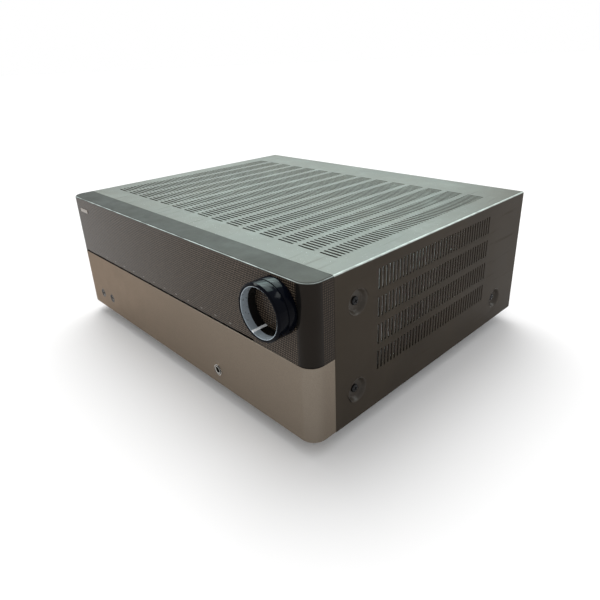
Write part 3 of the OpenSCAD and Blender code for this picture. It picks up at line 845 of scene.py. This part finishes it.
def cover_paint(name, level, tint):
    """Dark satin powder paint: a fine pebble, dust on the top, faint scuffs, and a painted highlight along
    the bends.
    """
    look = Look(name, specular_ior_level=level, specular_tint=(*tint, 1))
    base = (0.036, 0.029, 0.022)
    cloudy = look.span(look.noise(60, 3), 0.3, 0.7)
    paint = look.blend(cloudy, shade(base, 0.85), shade(base, 1.15))
    x, _, z = look.axes()
    top = look.span(z, Z_TOP - 3 * MM, Z_TOP - 1 * MM)
    dust = look.math("MULTIPLY", look.span(look.noise(45, 5, rough=0.65), 0.52, 0.75), top)
    paint = look.blend(look.math("MULTIPLY", dust, 0.17), paint, (0.20, 0.215, 0.20))
    specks = look.span(look.noise(1.4, 1), 0.735, 0.76, 0, 0.5)
    paint = look.blend(look.math("MULTIPLY", specks, top), paint, (0.42, 0.43, 0.41))
    side = look.math("ABSOLUTE", x)
    # A lighter line along each bend between a side and the top is a painted highlight.
    bend_highlight = look.math(
        "MULTIPLY",
        look.span(side, HALF_W - 1.5 * MM, HALF_W - 1.1 * MM),
        look.span(z, Z_TOP - 1.5 * MM, Z_TOP - 1.1 * MM),
    )
    bend_highlight = look.math("MULTIPLY", bend_highlight, look.span(look.noise(9, 4), 0.25, 0.6, 0.45, 0.95))
    paint = look.blend(bend_highlight, paint, (0.42, 0.45, 0.43))
    look.colour(paint)
    rough = look.span(look.noise(30, 4), 0.3, 0.7, 0.36, 0.44)
    scuffs = look.noise(5, 2, vector=look.scaled(1, 0.06, 1))
    look.rough(look.math("ADD", rough, look.span(scuffs, 0.62, 0.72, 0, 0.12)))
    look.bump(look.noise(0.7, 2), 0.012)
    look.bump(look.noise(120, 2), 0.25, 0.5)
    return look


def lattice(look, u, v, pitch):
    """0 on the threads of a fine lattice and 1 in its openings."""
    waves = [look.math("COSINE", look.math("MULTIPLY", w, TAU / (pitch * MM))) for w in (u, v)]
    return look.span(look.math("ADD", *waves), -1.0, 0.1)


def weave_reflection(name, ground, opening, rough, disc=None):
    """Gloss over a painted reflection of a carpet's weave, a fine lattice, which stops at the rounded corners
    and at the top strip.

    The painted reflection is fainter on the sides, as painted shade. The strip has less gloss, and a painted
    highlight along its front edge. A disc is its axis and radius, and the painted reflection stops at its
    rim.
    """
    # The warm specular tint is painted reflection colour, standing in for a brown floor.
    look = Look(name, specular_ior_level=0.125, specular_tint=(1.0, 0.78, 0.62, 1))
    x, y, z = look.axes()
    # The lattice of threads and openings is a painted reflection of a carpet's weave.
    holes = lattice(look, look.math("ADD", x, y), z, WEAVE_PITCH)
    side = look.math("ABSOLUTE", x)
    corner = look.math(
        "MULTIPLY",
        look.span(side, HALF_W - CORNER_R - 1 * MM, HALF_W - CORNER_R),
        look.span(y, Y_FACE + CORNER_R + 1 * MM, Y_FACE + CORNER_R),
    )
    strip = look.span(z, Z_TOP - 1.6 * MM, Z_TOP - 1.3 * MM)
    bare = look.math("MAXIMUM", corner, strip)
    if disc:
        centre_x, centre_z, radius = disc
        from_axis = look.length(look.math("SUBTRACT", x, centre_x), look.math("SUBTRACT", z, centre_z))
        bare = look.math("MAXIMUM", bare, look.span(from_axis, radius - 0.6 * MM, radius - 0.3 * MM))
    thread = look.blend(look.span(look.noise(2.5, 2), 0.3, 0.7), shade(ground, 0.75), shade(ground, 1.25))
    reflected_weave = look.blend(holes, thread, opening)
    # The reflection fades to the openings' colour on the side returns: painted shade.
    side_shade = look.span(side, HALF_W - 1.5 * MM, HALF_W - 1.0 * MM, 0, 0.6)
    reflected_weave = look.blend(side_shade, reflected_weave, opening)
    cloudy = look.span(look.noise(30, 3), 0.3, 0.7)
    plain_colour = look.blend(cloudy, (0.005, 0.005, 0.005), (0.008, 0.0075, 0.007))
    past_x = look.math("MAXIMUM", look.math("SUBTRACT", side, HALF_W - CORNER_R), 0.0)
    past_y = look.math("MAXIMUM", look.math("SUBTRACT", Y_FACE + CORNER_R, y), 0.0)
    reach = look.length(past_x, past_y)
    # A lighter line on the chamfer along the strip's front edge and round its corners is a painted highlight.
    chamfer_highlight = look.math(
        "MULTIPLY",
        look.span(reach, CORNER_R - 1.0 * MM, CORNER_R - 0.7 * MM),
        look.span(z, Z_TOP - 1.0 * MM, Z_TOP - 0.7 * MM),
    )
    chamfer_highlight = look.math("MULTIPLY", chamfer_highlight, look.span(look.noise(14, 3), 0.3, 0.65, 0.35, 1.0))
    colour = look.blend(bare, reflected_weave, plain_colour)
    look.colour(look.blend(chamfer_highlight, colour, (0.40, 0.43, 0.42)))
    dust = look.span(look.noise(1.3, 1), 0.76, 0.79, 0, 0.1)
    smear = look.span(look.noise(25, 5, rough=0.7), 0.35, 0.75, rough, rough + 0.12)
    rubbed = look.math("MULTIPLY", strip, 0.38)
    look.rough(look.math("ADD", look.math("ADD", smear, rubbed), dust))
    look.bump(look.noise(90, 2), 0.1, 0.4)
    look.bump(look.math("MULTIPLY", holes, look.math("SUBTRACT", 1.0, bare)), 0.02, 0.35)
    return look


def satin_metal(name, colour, rough=0.36):
    """Painted metal with a fine sparkle, and painted shade, near black, where it turns into the groove at the
    top.
    """
    look = Look(name, metallic=0.75, specular_tint=(0.6, 0.46, 0.38, 1))
    flakes = look.span(look.noise(0.35, 1), 0.35, 0.65)
    tone = look.blend(flakes, shade(colour, 0.86), shade(colour, 1.14))
    cloudy = look.span(look.noise(70, 3), 0.3, 0.7, 0, 0.5)
    tone = look.blend(cloudy, tone, shade(colour, 0.93))
    z = look.axes()[2]
    # The top face inside the groove is near black: painted shade.
    groove = look.span(z, Z_SEAM - 0.75 * MM, Z_SEAM - 0.5 * MM)
    look.colour(look.blend(groove, tone, (0.004, 0.004, 0.004)))
    look.rough(look.span(look.noise(28, 4), 0.3, 0.7, rough - 0.05, rough + 0.05))
    look.bump(look.noise(0.3, 1), 0.006)
    look.bump(look.noise(150, 1), 0.2, 0.4)
    return look


def zinc(name):
    """Zinc-plated steel with spangle."""
    look = Look(name, metallic=1.0)
    cells = look.add("ShaderNodeTexVoronoi", {"Vector": look.place, "Scale": 220.0}).outputs["Color"]
    tone = look.add("ShaderNodeSeparateColor", {0: cells}).outputs[0]
    look.colour(look.blend(tone, (0.36, 0.37, 0.38), (0.50, 0.51, 0.52)))
    look.rough(look.span(look.noise(6, 3), 0.3, 0.7, 0.28, 0.45))
    look.bump(look.noise(0.6, 2), 0.006)
    return look


def board(name, colour, trace):
    """Lacquered circuit board with copper tracks under the lacquer."""
    look = Look(name, coat_weight=0.5, coat_roughness=0.15)
    cells = look.add(
        "ShaderNodeTexVoronoi", {"Vector": look.place, "Scale": 190.0}, feature="DISTANCE_TO_EDGE"
    ).outputs[0]
    tracks = look.span(cells, 0.05, 0.09, 1, 0)
    pads = look.add("ShaderNodeTexVoronoi", {"Vector": look.place, "Scale": 260.0}).outputs["Distance"]
    mask = look.math("MAXIMUM", tracks, look.span(pads, 0.2, 0.26, 1, 0))
    look.colour(look.blend(mask, colour, trace))
    look.rough(look.span(look.noise(10, 3), 0.3, 0.7, 0.3, 0.45))
    look.bump(mask, 0.05)
    return look


def striped(name, dark, light, pitch, axis, rough, metallic=0.0, depth=0.05, **sockets):
    """Fine regular lines across an axis, as on laminations, windings or moulded ribs."""
    look = Look(name, metallic=metallic, **sockets)
    w = look.axes()[axis]
    wobble = look.math("MULTIPLY", look.noise(8, 2), 0.4 * pitch * MM)
    wave = look.math("SINE", look.math("MULTIPLY", look.math("ADD", w, wobble), TAU / (pitch * MM)))
    lines = look.span(wave, -0.6, 0.6)
    look.colour(look.blend(lines, dark, light))
    look.rough(look.span(look.noise(5, 3), 0.3, 0.7, rough - 0.06, rough + 0.06))
    look.bump(lines, depth)
    return look


def spun(name, colour, rough, centre, metallic=1.0, **sockets):
    """Metal turned on a lathe: fine rings round an axis along Y."""
    look = Look(name, metallic=metallic, **sockets)
    x, y, z = look.axes()
    dx, dz = look.math("SUBTRACT", x, centre[0]), look.math("SUBTRACT", z, centre[1])
    flat = look.add("ShaderNodeCombineXYZ", {0: dx, 1: 0.0, 2: dz}).outputs[0]
    radius = look.add("ShaderNodeVectorMath", {0: flat}, operation="LENGTH").outputs["Value"]
    both = look.add("ShaderNodeCombineXYZ", {0: radius, 1: y, 2: 0.0}).outputs[0]
    rings = look.add("ShaderNodeTexNoise", {"Vector": both, "Scale": 4000.0, "Detail": 1.0}).outputs[0]
    look.colour(look.blend(look.span(rings, 0.3, 0.7), shade(colour, 0.9), shade(colour, 1.1)))
    look.rough(look.span(look.noise(4, 2), 0.3, 0.7, rough - 0.05, rough + 0.05))
    look.bump(rings, 0.004)
    return look


KNOB_AXIS = (KNOB_X, KNOB_Z)
PHONES_AXIS = (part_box("headphone_jack")[0].x + 7 * MM, Z_PHONES)
WEAVE_PITCH = 2.1  # millimetres
HUB_BORE_R = KNOB_R - 4 * MM
# Colours of the threads and openings in the painted reflection of a carpet's weave.
THREAD = (0.100, 0.077, 0.058)
OPENING = (0.006, 0.005, 0.004)

LOOKS = {
    # The sides' copy of the cover paint: a weak, warm reflection, which is painted shade.
    "cover_paint": cover_paint("cover_paint", 0.04, (1.0, 0.85, 0.7)),
    "zinc_steel": zinc("zinc_steel"),
    "rear_paint": plain("rear_paint", (0.022, 0.022, 0.022), 0.5, grain=0.6, depth=0.02),
    # The glossy front carries a painted reflection of a carpet's weave.
    "gloss_front": weave_reflection("gloss_front", THREAD, OPENING, 0.12),
    "satin_front": satin_metal("satin_front", (0.195, 0.166, 0.133)),
    "foot_plastic": plain("foot_plastic", (0.012, 0.012, 0.012), 0.45, grain=0.4, depth=0.02),
    "pad_rubber": plain("pad_rubber", (0.022, 0.022, 0.021), 0.85, grain=0.8, depth=0.05),
    "black_screw": plain("black_screw", (0.015, 0.015, 0.016), 0.28, metallic=0.8, grain=0.8, depth=0.01),
    "badge_silver": plain("badge_silver", (0.30, 0.27, 0.24), 0.3, metallic=0.9, grain=0.3, depth=0.004),
    "key_plastic": plain("key_plastic", (0.005, 0.005, 0.0055), 0.3, grain=0.5, depth=0.008,
                         specular_ior_level=0.12),
    "circuit_board": board("circuit_board", (0.012, 0.075, 0.03), (0.03, 0.14, 0.055)),
    "display_glass": plain("display_glass", (0.008, 0.012, 0.012), 0.12, grain=2, depth=0.004,
                           coat_weight=0.5),
    "jack_metal": spun("jack_metal", (0.60, 0.58, 0.54), 0.2, PHONES_AXIS),
    "jack_plastic": plain("jack_plastic", (0.014, 0.014, 0.015), 0.42, grain=0.4, depth=0.015),
    "knob_gloss": plain("knob_gloss", (0.0012, 0.0016, 0.0032), 0.10, grain=6, depth=0.01, spread=0.03,
                        specular_ior_level=0.04),
    "liner_satin": spun("liner_satin", (0.40, 0.46, 0.51), 0.3, KNOB_AXIS, metallic=0.45),
    "pointer_white": plain("pointer_white", (0.82, 0.84, 0.85), 0.35, grain=0.5, depth=0.004, mottle=0.04),
    "shaft_steel": plain("shaft_steel", (0.5, 0.5, 0.5), 0.3, metallic=1.0, grain=0.4, depth=0.006),
    "encoder_metal": plain("encoder_metal", (0.4, 0.4, 0.42), 0.35, metallic=1.0, grain=0.5, depth=0.008),
    "core_iron": striped("core_iron", (0.10, 0.095, 0.09), (0.24, 0.23, 0.22), 1.1, 1, 0.5, metallic=0.8),
    "coil_copper": striped("coil_copper", (0.30, 0.13, 0.04), (0.62, 0.32, 0.12), 1.4, 2, 0.3,
                           metallic=0.7, depth=0.2),
    "capacitor_sleeve": plain("capacitor_sleeve", (0.014, 0.02, 0.06), 0.3, grain=1.5, depth=0.01),
    "sink_aluminium": plain("sink_aluminium", (0.90, 0.91, 0.92), 0.3, metallic=0.35, grain=0.5, depth=0.01),
    "component_black": plain("component_black", (0.016, 0.016, 0.016), 0.5, grain=0.4, depth=0.01),
    "digital_board_blue": board("digital_board_blue", (0.012, 0.04, 0.11), (0.03, 0.09, 0.2)),
    "ribbon_vinyl": striped("ribbon_vinyl", (0.42, 0.42, 0.40), (0.66, 0.66, 0.63), 1.27, 0, 0.4, depth=0.2),
    "stud_brass": plain("stud_brass", (0.75, 0.55, 0.24), 0.22, metallic=1.0, grain=0.4, depth=0.008),
    "rca_nickel": plain("rca_nickel", (0.68, 0.66, 0.60), 0.22, metallic=1.0, grain=0.4, depth=0.006),
    "cap_red": plain("cap_red", (0.36, 0.02, 0.015), 0.25, grain=0.6, depth=0.008),
    "cap_black": plain("cap_black", (0.012, 0.012, 0.012), 0.25, grain=0.6, depth=0.008),
}
# A copy of the same cover paint with a strong, white reflection: painted sheen on the top, painted glints in
# the dimples and on the slot walls.
SHEEN_COPY_PAINT = cover_paint("cover_paint_sheen_copy", 0.25, (1.0, 1.0, 1.0))
# The knob's hub carries the same painted reflection of a carpet's weave, up to its bore.
HUB_LOOK = weave_reflection("hub_floor", THREAD, OPENING, 0.14, disc=(*KNOB_AXIS, HUB_BORE_R))
DIM_STEEL = plain("dim_steel", (0.17, 0.155, 0.135), 0.3, metallic=0.9, grain=0.4, depth=0.005)
FAINT_PRINT = plain("faint_print", (0.15, 0.14, 0.13), 0.5, grain=0.4, depth=0.004)
PRINT_LOOK = plain("print_ink", (0.50, 0.49, 0.46), 0.5, grain=0.4, depth=0.004)
RCA_RED = plain("rca_red", (0.45, 0.025, 0.02), 0.35, grain=0.6, depth=0.008)
RCA_WHITE = plain("rca_white", (0.70, 0.70, 0.67), 0.35, grain=0.6, depth=0.008)
GOLD = plain("contact_gold", (0.85, 0.62, 0.25), 0.2, metallic=1.0, grain=0.4, depth=0.004)


def paint(obj, look):
    """Gives the whole object one look."""
    slots = obj.data.materials
    slots.clear()
    slots.append(look.material)
    return obj


# ---- The object ----

SLOT_OF = {s["node"]: s["material_slot"] for s in frame["record"]["subparts"]}
for node_name, node in nodes.items():
    paint(node, LOOKS[SLOT_OF[node_name]])
paint(nodes["knob_hub"], HUB_LOOK)

# Widths of the rounded edges, in millimetres
ROUND_EDGES = {
    "upper_front": 0.6, "lower_front": 0.25, "feet": 0.5, "foot_pads": 0.4, "badge_bar": 0.2,
    "speaker_block": 0.5, "ac_inlet": 0.4, "antenna_block": 0.3, "rca_jacks": 0.2, "hdmi_sockets": 0.15,
    "speaker_studs": 0.2, "power_key": 0.12, "rear_panel": 0.12, "headphone_jack": 0.25,
    "transformer_core": 0.3,
}
for node_name, width in ROUND_EDGES.items():
    rounded(nodes[node_name], width)
for i in range(1, 13):
    rounded(nodes[f"menu_key_{i}"], 0.12)
for i in range(1, 9):
    rounded(nodes[f"post_cap_{i}"], 0.2)


def fit(piece, body, slot, look=None, replaced=()):
    """Rides a piece on its body and gives it a look: the one given, or else the look of its slot."""
    paint(piece, look or LOOKS[slot])
    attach(piece, body)
    if replaced:
        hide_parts(*replaced)
    return piece


# The outer faces of the sides have the first paint, and every other face has the second, a copy of it with a
# stronger, whiter reflection: painted sheen on the top and the bends, and painted glints in the dimples and
# on the slot walls.
cover = fit(make_cover(), "case", "cover_paint", replaced=["top_cover"])
cover.data.materials.append(SHEEN_COPY_PAINT.material)
for face in cover.data.polygons:
    pressed = HALF_W - abs(face.center.x) > 0.05 * MM
    face.material_index = int(face.center.z > Z_TOP - BEND_R / 2 or pressed)
fit(make_cover_screws(), "case", "black_screw", replaced=["cover_screws"])
fit(make_rear_screws(), "case", "black_screw", replaced=["rear_screws"])
fit(make_knob_ring(), "volume_knob", "knob_gloss", replaced=["knob_ring"])
fit(make_knob_liner(), "volume_knob", "liner_satin", replaced=["knob_liner"])
fit(make_headphone_ring(), "case", "jack_metal")
fit(make_headphone_rim(), "case", "jack_plastic")
fit(make_mini_contacts(), "case", "jack_metal", DIM_STEEL)
fit(make_fin_tips(), "case", "sink_aluminium")
fit(make_front_marks(), "case", "pointer_white", FAINT_PRINT)
fit(make_rear_marks(), "case", "pointer_white", PRINT_LOOK)
fit(make_rca_rings(0, "rca_rings_white"), "case", "jack_plastic", RCA_WHITE)
fit(make_rca_rings(1, "rca_rings_red"), "case", "cap_red", RCA_RED)
fit(make_rca_collars(), "case", "rca_nickel")
fit(make_hdmi_tongues(), "case", "jack_plastic")
fit(make_hdmi_contacts(), "case", "stud_brass", GOLD)
fit(make_antenna_parts(), "case", "rca_nickel")
fit(make_clip_levers(), "case", "jack_plastic")
fit(make_inlet_pins(), "case", "shaft_steel")
fit(make_post_rings(True, "post_rings_red"), "case", "cap_red")
fit(make_post_rings(False, "post_rings_black"), "case", "cap_black")

# ---- Floor, light and camera ----


def make_floor():
    """The floor. Returns a set of light receivers that leaves it out."""
    shape = Shape()
    radius, thickness = 40, 0.02
    shape.stack(Matrix.Identity(4), [circle(radius, -thickness, 96), circle(radius, 0.0, 96)])
    floor = shape.build("floor")
    pale = (0.9, 0.9, 0.9)
    look = plain(
        "floor_pale", pale, 0.7, grain=4, depth=0.02, mottle=0.005, cloud=400, specular_ior_level=0.1
    )
    paint(floor, look)
    not_floor = bpy.data.collections.new("all_but_floor")
    not_floor.objects.link(floor)
    not_floor.collection_objects[0].light_linking.link_state = "EXCLUDE"
    return not_floor


def area_light(name, place, target, width, height, power, colour, receivers):
    """A softbox that lights only the receivers; sizes in metres, power in watts."""
    data = bpy.data.lights.new(name, "AREA")
    data.shape = "RECTANGLE"
    data.size, data.size_y = width, height
    data.energy = power
    data.color = colour
    obj = bpy.data.objects.new(name, data)
    bpy.context.scene.collection.objects.link(obj)
    obj.location = place
    obj.rotation_mode = "QUATERNION"
    obj.rotation_quaternion = (Vector(target) - Vector(place)).to_track_quat("-Z", "Y")
    obj.light_linking.receiver_collection = receivers


def make_world():
    """A background that the camera sees as white.

    Everything else gets a little less light from it, and least from the low part behind the object.
    """
    world = bpy.data.worlds.new("studio")
    bpy.context.scene.world = world
    world.use_nodes = True
    tree = world.node_tree
    background = tree.nodes["Background"]
    background.inputs["Color"].default_value = (1, 1, 1, 1)
    direction = tree.nodes.new("ShaderNodeTexCoord")
    behind = tree.nodes.new("ShaderNodeVectorMath")
    behind.operation = "DOT_PRODUCT"
    behind.inputs[1].default_value = (-0.45, 0.65, -1.6)  # the third number fades it upward
    dim = tree.nodes.new("ShaderNodeMapRange")
    for socket, value in (("From Max", 0.55), ("To Min", 0.82), ("To Max", 0.15)):
        dim.inputs[socket].default_value = value
    path = tree.nodes.new("ShaderNodeLightPath")
    strength = tree.nodes.new("ShaderNodeMapRange")
    strength.inputs["To Max"].default_value = 1.0
    for source, target in (
        (direction.outputs["Generated"], behind.inputs[0]),
        (behind.outputs["Value"], dim.inputs[0]),
        (path.outputs["Is Camera Ray"], strength.inputs[0]),
        (dim.outputs[0], strength.inputs["To Min"]),
        (strength.outputs[0], background.inputs["Strength"]),
    ):
        tree.links.new(source, target)


def make_lights(not_floor):
    """A broad high light for the floor's soft shadow, and softboxes that the glossy faces show."""
    sun = bpy.data.lights.new("high_light", "SUN")
    sun.energy = 1.86
    sun.angle = math.radians(50)
    obj = bpy.data.objects.new("high_light", sun)
    bpy.context.scene.collection.objects.link(obj)
    obj.rotation_mode = "QUATERNION"
    obj.rotation_quaternion = Vector((0.5, -0.35, -1)).to_track_quat("-Z", "Y")
    green, pale_green, faint_green = (0.75, 1.0, 0.96), (0.77, 1.0, 0.96), (0.95, 1.0, 0.98)
    softboxes = (
        ("back_softbox", (-1.7, 1.5, 1.3), (0, 0, 0.1), 2.6, 1.1, 17, green),
        ("high_softbox", (-1.2, 1.3, 1.7), (0.1, -0.1, 0.16), 1.7, 0.9, 34, green),
        ("rim_softbox", (0.9, 1.5, 1.6), (0.2, 0, 0.16), 0.7, 0.7, 11, faint_green),
        ("edge_softbox", (-1.6, -0.95, 1.6), (0, -0.17, 0.16), 0.7, 0.7, 22, faint_green),
        ("top_softbox", (-0.05, 0.05, 0.75), (-0.05, 0.05, 0.1), 0.5, 0.5, 7, pale_green),
    )
    for softbox in softboxes:
        area_light(*softbox, not_floor)


def make_camera():
    """The camera, at the photograph's angle."""
    azimuth, elevation, roll = math.radians(46.99), math.radians(22.89), math.radians(-2.44)
    distance = 580.51 * MM
    target = Vector((68.718 * MM, -42.297 * MM, 91.0 * MM))
    level = math.cos(elevation)
    back = Vector((math.sin(azimuth) * level, -math.cos(azimuth) * level, math.sin(elevation)))
    right = Vector((math.cos(azimuth), math.sin(azimuth), 0))
    up = back.cross(right)
    turned_right = math.cos(roll) * right + math.sin(roll) * up
    turned_up = -math.sin(roll) * right + math.cos(roll) * up
    data = bpy.data.cameras.new("camera")
    data.sensor_width = 36
    data.lens = 30.35
    data.shift_y = -0.045
    data.clip_start, data.clip_end = 0.01, 50
    camera = bpy.data.objects.new("camera", data)
    bpy.context.scene.collection.objects.link(camera)
    turn = Matrix((turned_right, turned_up, back)).transposed().to_4x4()
    camera.matrix_world = Matrix.Translation(target + back * distance) @ turn
    bpy.context.scene.camera = camera


make_world()
make_lights(make_floor())
make_camera()
bpy.context.scene.view_settings.view_transform = "Standard"
